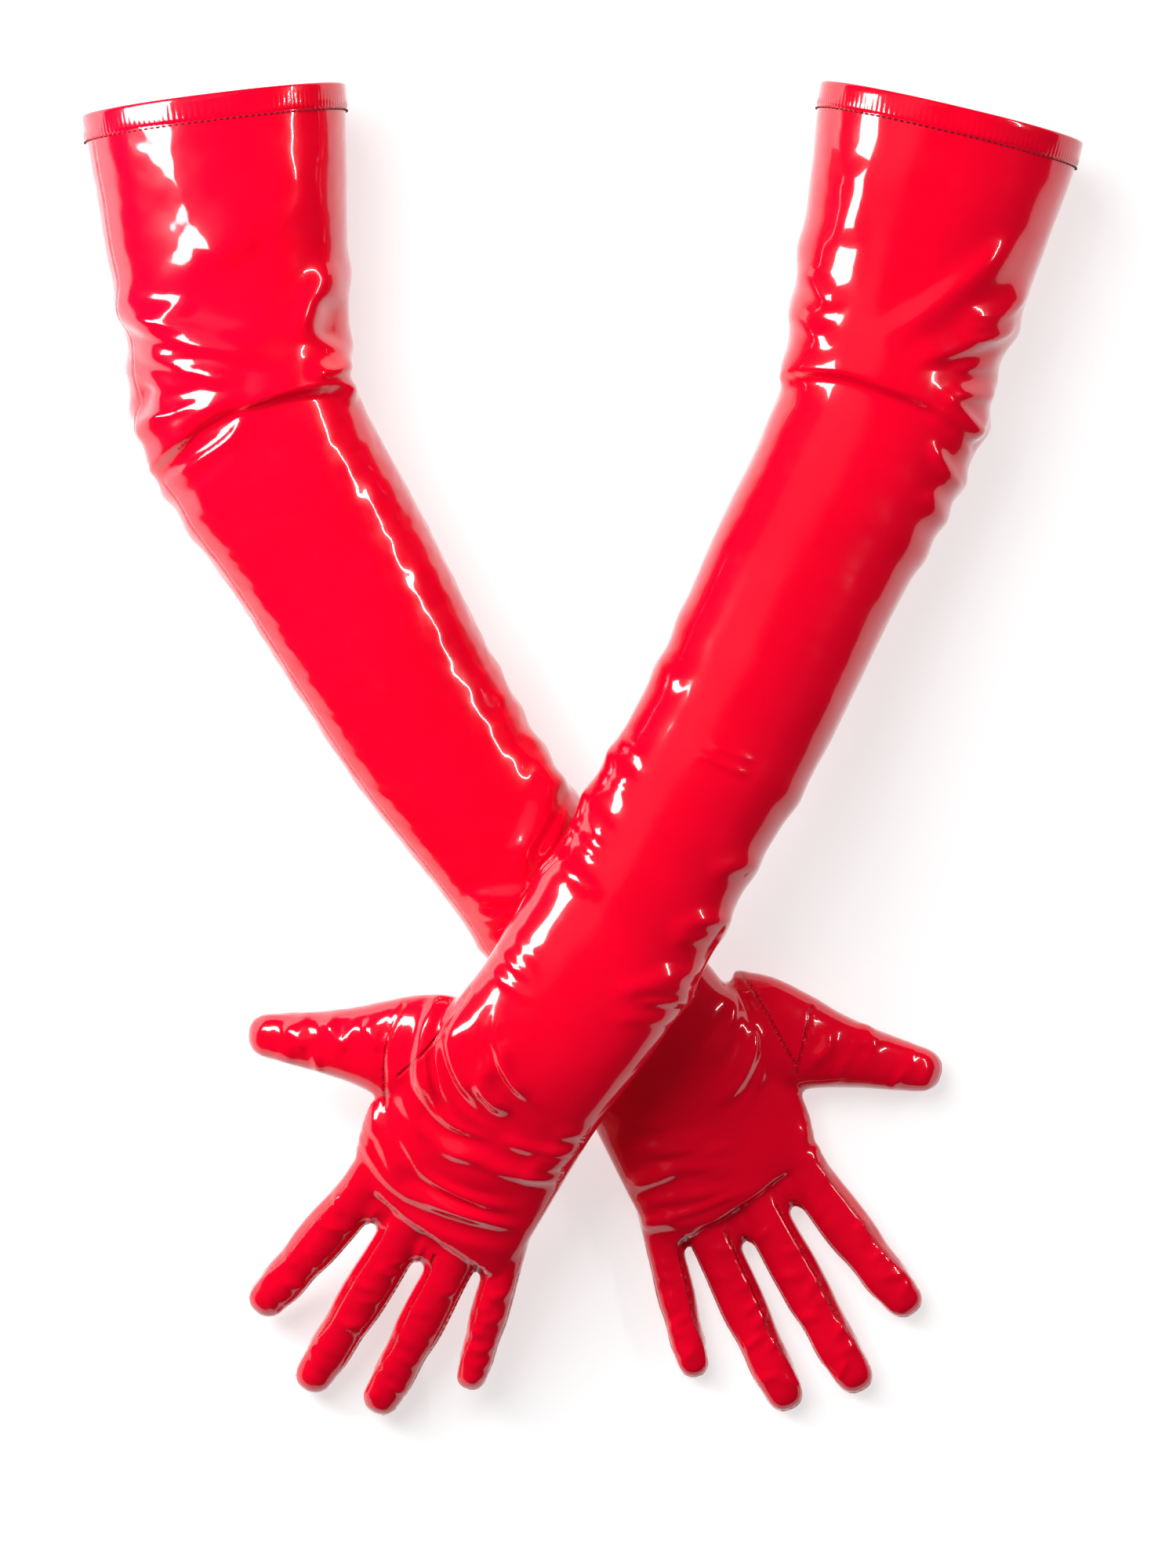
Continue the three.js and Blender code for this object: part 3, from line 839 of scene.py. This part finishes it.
# One closed piece: its outer faces, the same faces turned round inside, and a rim where it was cut
def shellPiece(name, points, normals, quads, seam, looks):
    used = np.unique(quads)
    index = np.full(len(points), -1)
    index[used] = np.arange(len(used))
    outer = index[quads]
    count = len(used)
    inner = outer[:, ::-1] + count
    edges = np.concatenate([outer[:, [i, (i + 1) % 4]] for i in range(4)])
    keys = np.sort(edges, axis=1)
    _, first, times = np.unique(keys[:, 0] * count + keys[:, 1], return_index=True, return_counts=True)
    cut = edges[first[times == 1]]
    rim = np.stack([cut[:, 1], cut[:, 0], cut[:, 0] + count, cut[:, 1] + count], axis=1)
    faces = np.vstack([outer, inner, rim])
    vertices = np.vstack([points[used], points[used] - normals[used] * skin["thick"]]) * metres
    mesh = bpy.data.meshes.new(name)
    mesh.vertices.add(len(vertices))
    mesh.vertices.foreach_set("co", vertices.ravel())
    mesh.loops.add(faces.size)
    mesh.loops.foreach_set("vertex_index", faces.ravel().astype(np.int32))
    mesh.polygons.add(len(faces))
    mesh.polygons.foreach_set("loop_start", np.arange(0, faces.size, 4, dtype=np.int32))
    materialIndex = np.zeros(len(faces), np.int32)
    materialIndex[len(outer):len(outer) + len(inner)] = 1
    for look in looks:
        mesh.materials.append(look)
    mesh.update(calc_edges=True)
    mesh.polygons.foreach_set("material_index", materialIndex)
    smooth(mesh)
    noSeam = np.full(count, farFromSeams)
    storeSeam(mesh, np.concatenate([seam[used], noSeam]))
    mesh.update()
    both = np.vstack([normals[used], -normals[used]])
    mesh.normals_split_custom_set_from_vertices(both.tolist())
    return newPiece(name, mesh)


def operator(operation, reflected=False):
    def apply(self, other):
        pair = (other, self) if reflected else (self, other)
        return self.look.node("ShaderNodeMath", {"operation": operation}, dict(enumerate(pair)))
    return apply


class Maths:
    # wraps a socket, so that sums and products of sockets read as sums and products
    def __init__(self, look, socket):
        self.look, self.socket = look, socket

    __add__ = operator("ADD")
    __radd__ = operator("ADD", reflected=True)
    __sub__ = operator("SUBTRACT")
    __rsub__ = operator("SUBTRACT", reflected=True)
    __mul__ = operator("MULTIPLY")
    __rmul__ = operator("MULTIPLY", reflected=True)


class Look:
    def __init__(self, name):
        self.material = bpy.data.materials.new(name)
        self.material.use_nodes = True
        self.tree = self.material.node_tree
        self.tree.nodes.clear()

    def node(self, kind, settings=None, inputs=None, output=0):
        made = self.tree.nodes.new(kind)
        for key, value in (settings or {}).items():
            setattr(made, key, value)
        for key, value in (inputs or {}).items():
            socket = made.inputs[key]
            if isinstance(value, Maths):
                self.tree.links.new(value.socket, socket)
            else:
                socket.default_value = value
        return Maths(self, made.outputs[output]) if len(made.outputs) else None

    def noise(self, place, scale, detail=2.0, roughness=0.5):
        return self.node("ShaderNodeTexNoise", {},
                         {"Vector": place, "Scale": scale, "Detail": detail, "Roughness": roughness})

    def between(self, value, low, high, toLow=0.0, toHigh=1.0):
        limits = {"From Min": low, "From Max": high, "To Min": toLow, "To Max": toHigh}
        return self.node("ShaderNodeMapRange", {"interpolation_type": "SMOOTHSTEP"},
                         {"Value": value, **limits})

    def mix(self, share, first, second):
        return self.node("ShaderNodeMix", {"data_type": "RGBA"}, {0: share, 6: first, 7: second}, output=2)

    def bump(self, height, distance, strength=1.0, under=None):
        inputs = {"Height": height, "Distance": distance, "Strength": strength}
        if under is not None:
            inputs["Normal"] = under
        return self.node("ShaderNodeBump", {}, inputs)

    def finish(self, inputs):
        shader = self.node("ShaderNodeBsdfPrincipled", {}, inputs)
        self.node("ShaderNodeOutputMaterial", {}, {"Surface": shader})
        return self.material


vinylValues = {
    "bright": (0.74, 0, 0.017, 1),
    # deep red: the darker end of the random tone, and the painted shade along the seams
    "deep": (0.46, 0, 0.01, 1),
    "gloss": 0.17,        # roughness of the coating
    "glossWander": 0.08,
    "peel": 0.00004,      # depth of the fine unevenness of the coating, in metres
    "seamDepth": 0.0006,
}


def vinylLook():
    look = Look("glossy_red_vinyl")
    v = vinylValues
    place = look.node("ShaderNodeTexCoord", {}, {}, output="Object")
    seam = look.node("ShaderNodeAttribute", {"attribute_name": "seamDistance"}, {}, output="Fac")
    broad = look.noise(place, 16.0, 3.0)
    fine = look.noise(place, 900.0, 2.0)
    peel = look.noise(place, 260.0, 2.0)
    scuff = look.noise(place, 60.0, 4.0, 0.65)
    # groove is 0 on a seam and 1 away from it; it shapes the seam's bump and roughness and also paints shade
    # into the colour
    groove = look.between(seam, 0.15, 1.0)
    nearSeam = look.between(seam, 0.5, 4.0, 1.0, 0.0)
    pucker = look.noise(place, 520.0, 1.0)
    tone = look.between(broad, 0.3, 0.7)
    # the colour runs to the deep red along the seams as painted shade in their grooves; elsewhere the broad
    # noise gives a random tone
    colour = look.mix(tone * 0.35 + groove * 0.65, v["deep"], v["bright"])
    roughness = v["gloss"] + v["glossWander"] * look.between(scuff, 0.45, 0.8) + (1 - groove) * 0.15
    bump = look.bump(fine, 0.000012)
    bump = look.bump(peel, v["peel"], 1.0, bump)
    bump = look.bump(nearSeam * pucker, 0.00025, 1.0, bump)
    bump = look.bump(groove, v["seamDepth"], 1.0, bump)
    return look.finish({"Base Color": colour, "Roughness": roughness, "Normal": bump,
                        "Specular IOR Level": 0.2, "Coat Weight": 0.95, "Coat Roughness": 0.04})


def liningLook():
    look = Look("knit_lining")
    place = look.node("ShaderNodeTexCoord", {}, {}, output="Object")
    knit = look.node("ShaderNodeTexWave", {"wave_type": "BANDS", "bands_direction": "Z"},
                     {"Vector": place, "Scale": 420.0, "Distortion": 2.0, "Detail": 1.0})
    fuzz = look.noise(place, 700.0, 3.0)
    colour = look.mix(fuzz, (0.36, 0.01, 0.03, 1), (0.50, 0.03, 0.06, 1))
    bump = look.bump(knit + fuzz, 0.0002)
    return look.finish({"Base Color": colour, "Roughness": 0.85, "Normal": bump, "Sheen Weight": 0.3})


def threadLook():
    look = Look("sewing_thread")
    place = look.node("ShaderNodeTexCoord", {}, {}, output="Object")
    ply = look.node("ShaderNodeTexWave", {"wave_type": "BANDS", "bands_direction": "DIAGONAL"},
                    {"Vector": place, "Scale": 1400.0})
    colour = look.mix(ply, (0.07, 0.0, 0.006, 1), (0.15, 0.0, 0.010, 1))
    return look.finish({"Base Color": colour, "Roughness": 0.55, "Normal": look.bump(ply, 0.00006)})


vinyl, lining, thread = vinylLook(), liningLook(), threadLook()


hem = {
    "wide": 10.5,
    "thick": 1.9,
    "proud": 0.45,       # how far the band stands above the sleeve
    "stitchPitch": 2.7,
    "stitchLong": 1.7,
    "stitchThick": 0.85,
    "stitchProud": 0.5,
    "pucker": 0.16,
}


def sleeveRing(glove, places, place, grow, count):
    shift, wide, high = stationAt(glove["sleeve"], place)[0]
    cosine, sine = softSquare(count)
    sleeve = places["sleeve"]
    flat = np.outer(cosine * wide, sleeve["side"]) + np.outer(sine * high, sleeve["up"])
    outwards = np.outer(cosine / wide, sleeve["side"]) + np.outer(sine / high, sleeve["up"])
    outwards /= norm(outwards, axis=1)[:, None]
    grow = np.asarray(grow, float)
    grow = grow[:, None] if grow.ndim else grow
    return toWorld(sleeve, place, shift, high) + flat + outwards * grow


def hemBand(hand, glove, places):
    end = places["hemPlace"]
    start = end - hem["wide"]
    count = 420
    angles = np.arange(count)
    pucker = hem["pucker"] * np.cos(angles * 2 * math.pi / 3)
    turn = angles * 2 * math.pi / count
    soft = 0.35 * np.sin(turn * 5 + 1) + 0.25 * np.sin(turn * 11)
    # the band's outline: place along the sleeve, height over it, and how much the stitches pucker it
    outer, inner = hem["proud"], hem["proud"] - hem["thick"]
    outline = [(start - 0.7, -0.5, 0), (start - 0.2, -0.12, 0.6), (start + 0.5, outer * 0.75, 1),
               (start + 1.6, outer, 1), (start + 3.5, outer, 0.4), (end - 3, outer, 0),
               (end - 1, outer - 0.03, 0), (end - 0.3, outer - 0.3, 0), (end, outer - 0.8, 0),
               (end, inner + 0.7, 0), (end - 0.3, inner + 0.25, 0), (end - 1.2, inner, 0),
               (start + 4, inner, 0), (start, inner, 0), (start - 0.7, inner + 0.5, 0)]
    rows = [sleeveRing(glove, places, place, high + pucker * share + soft * 0.25, count)
            for place, high, share in outline]
    points = np.array(rows)
    points[..., 2] = np.maximum(points[..., 2], 0)    # flat where it rests on the table
    faces = []
    total = len(outline)
    for row in range(total):
        for column in range(count):
            after = (column + 1) % count
            below = (row + 1) % total
            faces.append((row * count + column, row * count + after, below * count + after,
                          below * count + column))
    mesh = bpy.data.meshes.new(f"{hand}_hem")
    mesh.from_pydata((points.reshape(-1, 3) * metres).tolist(), [], faces)
    outward(mesh)
    smooth(mesh)
    storeSeam(mesh, np.full(len(mesh.vertices), farFromSeams))
    mesh.materials.append(vinyl)
    return newPiece(f"{hand}_hem", mesh)


stitchSizes = {"Pitch": hem["stitchPitch"], "Length": hem["stitchLong"], "Thickness": hem["stitchThick"]}


# Stitches set along a curve by Geometry Nodes
def stitchTree():
    tree = bpy.data.node_groups.new("stitches", "GeometryNodeTree")
    face = tree.interface
    face.new_socket("Geometry", in_out="INPUT", socket_type="NodeSocketGeometry")
    sockets = {}
    for name, value in stitchSizes.items():
        socket = face.new_socket(name, in_out="INPUT", socket_type="NodeSocketFloat")
        socket.default_value = value * metres
        sockets[name] = socket.identifier
    face.new_socket("Geometry", in_out="OUTPUT", socket_type="NodeSocketGeometry")
    kinds = {
        "start": "NodeGroupInput", "end": "NodeGroupOutput", "toCurve": "GeometryNodeMeshToCurve",
        "resample": "GeometryNodeResampleCurve", "bead": "GeometryNodeMeshUVSphere",
        "size": "ShaderNodeCombineXYZ", "shape": "GeometryNodeTransform",
        "tangent": "GeometryNodeInputTangent", "turn": "FunctionNodeAlignRotationToVector",
        "place": "GeometryNodeInstanceOnPoints", "realize": "GeometryNodeRealizeInstances",
        "paint": "GeometryNodeSetMaterial",
    }
    nodes = {name: tree.nodes.new(kind) for name, kind in kinds.items()}
    nodes["resample"].mode = "LENGTH"
    nodes["turn"].axis = "X"
    for socket, value in (("Segments", 8), ("Rings", 6), ("Radius", 0.5)):
        nodes["bead"].inputs[socket].default_value = value
    nodes["paint"].inputs["Material"].default_value = thread
    for source, output, target, socket in (
            ("start", "Geometry", "toCurve", "Mesh"), ("toCurve", "Curve", "resample", "Curve"),
            ("start", "Pitch", "resample", "Length"), ("start", "Length", "size", "X"),
            ("start", "Thickness", "size", "Y"), ("start", "Thickness", "size", "Z"),
            ("bead", "Mesh", "shape", "Geometry"), ("size", "Vector", "shape", "Scale"),
            ("tangent", "Tangent", "turn", "Vector"), ("resample", "Curve", "place", "Points"),
            ("shape", "Geometry", "place", "Instance"), ("turn", "Rotation", "place", "Rotation"),
            ("place", "Instances", "realize", "Geometry"), ("realize", "Geometry", "paint", "Geometry"),
            ("paint", "Geometry", "end", "Geometry")):
        tree.links.new(nodes[source].outputs[output], nodes[target].inputs[socket])
    return tree, sockets


stitches, stitchSockets = stitchTree()


def hemStitches(hand, glove, places):
    count = 240
    ring = sleeveRing(glove, places, places["hemPlace"] - hem["wide"] - 0.75, hem["stitchProud"], count)
    ring[:, 2] = np.maximum(ring[:, 2], hem["stitchThick"] / 2)
    mesh = bpy.data.meshes.new("stitch_line")
    mesh.from_pydata((ring * metres).tolist(), [(i, (i + 1) % count) for i in range(count)], [])
    line = newPiece("stitch_line", mesh)
    modifier = line.modifiers.new("stitches", "NODES")
    modifier.node_group = stitches
    for name, value in stitchSizes.items():
        modifier[stitchSockets[name]] = value * metres
    graph = bpy.context.evaluated_depsgraph_get()
    made = bpy.data.meshes.new_from_object(line.evaluated_get(graph))
    line.modifiers.remove(modifier)
    bpy.data.objects.remove(line)
    made.name = f"{hand}_stitches"
    smooth(made)
    return newPiece(f"{hand}_stitches", made)


replacedNodes = {
    "sleeve": ("upper_sleeve_front", "upper_sleeve_back"),
    "forearm": ("forearm_front", "forearm_back"),
    "palm": ("palm", "hand_back", "thumb_gusset"),
    "thumb": ("thumb_front", "thumb_back"),
    "index": ("index_front", "index_back", "index_fourchette_far"),
    "middle": ("middle_front", "middle_back", "middle_fourchette_near", "middle_fourchette_far"),
    "ring": ("ring_front", "ring_back", "ring_fourchette_near", "ring_fourchette_far"),
    "little": ("little_front", "little_back", "little_fourchette_near"),
}
rigidBodies = {"sleeve": "upper", "forearm": "forearm", "palm": "hand"}


def buildGlove(hand):
    glove = gloves[hand]
    places = gloveFrames(hand, glove["turn"], glove["pitches"])
    points, quads = baseMesh(f"{hand}_whole", glove, places)
    # the end of the sleeve stops inside the hem band
    hemInside = 6
    along = toLocal(points, places["sleeve"])[0]
    elbow = chord(*zoneEnds(places)["elbow"], points)
    kept = (along < places["hemPlace"] - hemInside) | (elbow > 0)
    quads = quads[kept[quads].all(axis=1)]
    normals = vertexNormals(points, quads)
    height = foldSkin(hand, glove, places, points, normals)
    for wave in waves[hand]:
        height += gentleWaves(points, *wave)
    if hand == "left":
        along = toLocal(points, places["forearm"])[0]
        height += gentleWaves(points, *forearmRipple) * ramp(10, 30, along) * ramp(280, 240, along)
    height -= strip["sunk"] * sunkStrips(places, points)
    seam = seamDistance(hand, glove, places, points, normals)
    lip = seamRelief["lip"] * np.exp(-((seam - 1.5) / 0.8) ** 2)
    height += lip - seamRelief["groove"] * np.exp(-(seam / 1.0) ** 2)
    points = points + normals * height[:, None]
    points[:, 2] = np.maximum(points[:, 2], 0.0)
    normals = vertexNormals(points, quads)
    zone, ends = faceZones(places, points, quads)
    print(hand, "skin", len(points), "points,", len(quads), "faces")
    for part in np.unique(zone):
        mine = quads[zone == part]
        piece = shellPiece(f"{hand}_{part}_skin", points, normals, mine, seam, (vinyl, lining))
        if part in rigidBodies:
            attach(piece, f"{hand}_{rigidBodies[part]}")
        else:
            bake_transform(piece)
        if part in replacedNodes:
            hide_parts(*[f"{hand}_{node}" for node in replacedNodes[part]])
        print("  piece", piece.name, len(piece.data.polygons) * 2, "triangles")
    band = hemBand(hand, glove, places)
    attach(band, f"{hand}_upper")
    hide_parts(f"{hand}_hem_band")
    row = hemStitches(hand, glove, places)
    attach(row, f"{hand}_upper")
    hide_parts(f"{hand}_hem_stitching")


for hand in gloves:
    buildGlove(hand)


studio = {
    "aim": (0.0048, -0.0144),
    "viewHeight": 0.66,          # what the camera takes in from top to bottom, in metres
    "cameraHeight": 4.2,
    "focusHeight": 0.04,
    "softbox": {"at": (-0.74, 0.285, 0.54), "size": (0.70, 0.28), "power": 14},
    "strip": {"at": (1.17, 0.60, 1.0), "size": (0.06, 0.75), "power": 9},
    "fill": {"at": (-0.75, 0.85, 1.7), "size": (1.5, 1.5), "power": 46},
    "world": {"all": 0.16, "inGloss": -0.15, "seen": 0.84},
}


def makeFloor():
    mesh = bpy.data.meshes.new("floor")
    half = 4.0
    corners = [(-half, -half, 0), (half, -half, 0), (half, half, 0), (-half, half, 0)]
    mesh.from_pydata(corners, [], [(0, 1, 2, 3)])
    floor = newPiece("floor", mesh)
    look = Look("pale_floor")
    mesh.materials.append(look.finish({"Base Color": (0.42, 0.42, 0.42, 1), "Roughness": 0.9,
                                       "Emission Color": (1, 1, 1, 1), "Emission Strength": 0.64}))
    floor.location.z = -0.0004


def areaLight(name, values, target=None, inGloss=True):
    data = bpy.data.lights.new(name, "AREA")
    data.shape = "RECTANGLE"
    data.size, data.size_y = values["size"]
    data.energy = values["power"]
    lamp = newPiece(name, data)
    lamp.location = values["at"]
    if target is not None:
        aim = Vector(target) - Vector(values["at"])
        lamp.rotation_mode = "QUATERNION"
        lamp.rotation_quaternion = aim.to_track_quat("-Z", "Y")
    lamp.visible_glossy = inGloss


def makeStudio():
    makeFloor()
    areaLight("softbox", studio["softbox"])
    areaLight("strip", studio["strip"])
    areaLight("fill", studio["fill"], target=(0, 0, 0), inGloss=False)
    world = bpy.data.worlds.new("studio")
    world.use_nodes = True
    tree = world.node_tree
    background = tree.nodes["Background"]
    background.inputs["Color"].default_value = (1, 1, 1, 1)
    # a pale room, kept dim in the gloss so that the red stays deep
    light = tree.nodes.new("ShaderNodeLightPath")
    target = background.inputs["Strength"]
    for ray, key in (("Is Camera Ray", "seen"), ("Is Glossy Ray", "inGloss")):
        step = tree.nodes.new("ShaderNodeMath")
        step.operation = "MULTIPLY_ADD"
        tree.links.new(light.outputs[ray], step.inputs[0])
        step.inputs[1].default_value = studio["world"][key]
        tree.links.new(step.outputs[0], target)
        target = step.inputs[2]
    target.default_value = studio["world"]["all"]
    scene.world = world
    data = bpy.data.cameras.new("camera")
    camera = newPiece("camera", data)
    sensor = 36
    data.sensor_width = sensor
    data.lens = sensor * (studio["cameraHeight"] - studio["focusHeight"]) / studio["viewHeight"]
    data.clip_end = 50
    camera.location = (*studio["aim"], studio["cameraHeight"])
    scene.camera = camera
    scene.view_settings.view_transform = "Standard"


makeStudio()

print("built both gloves and the stage")
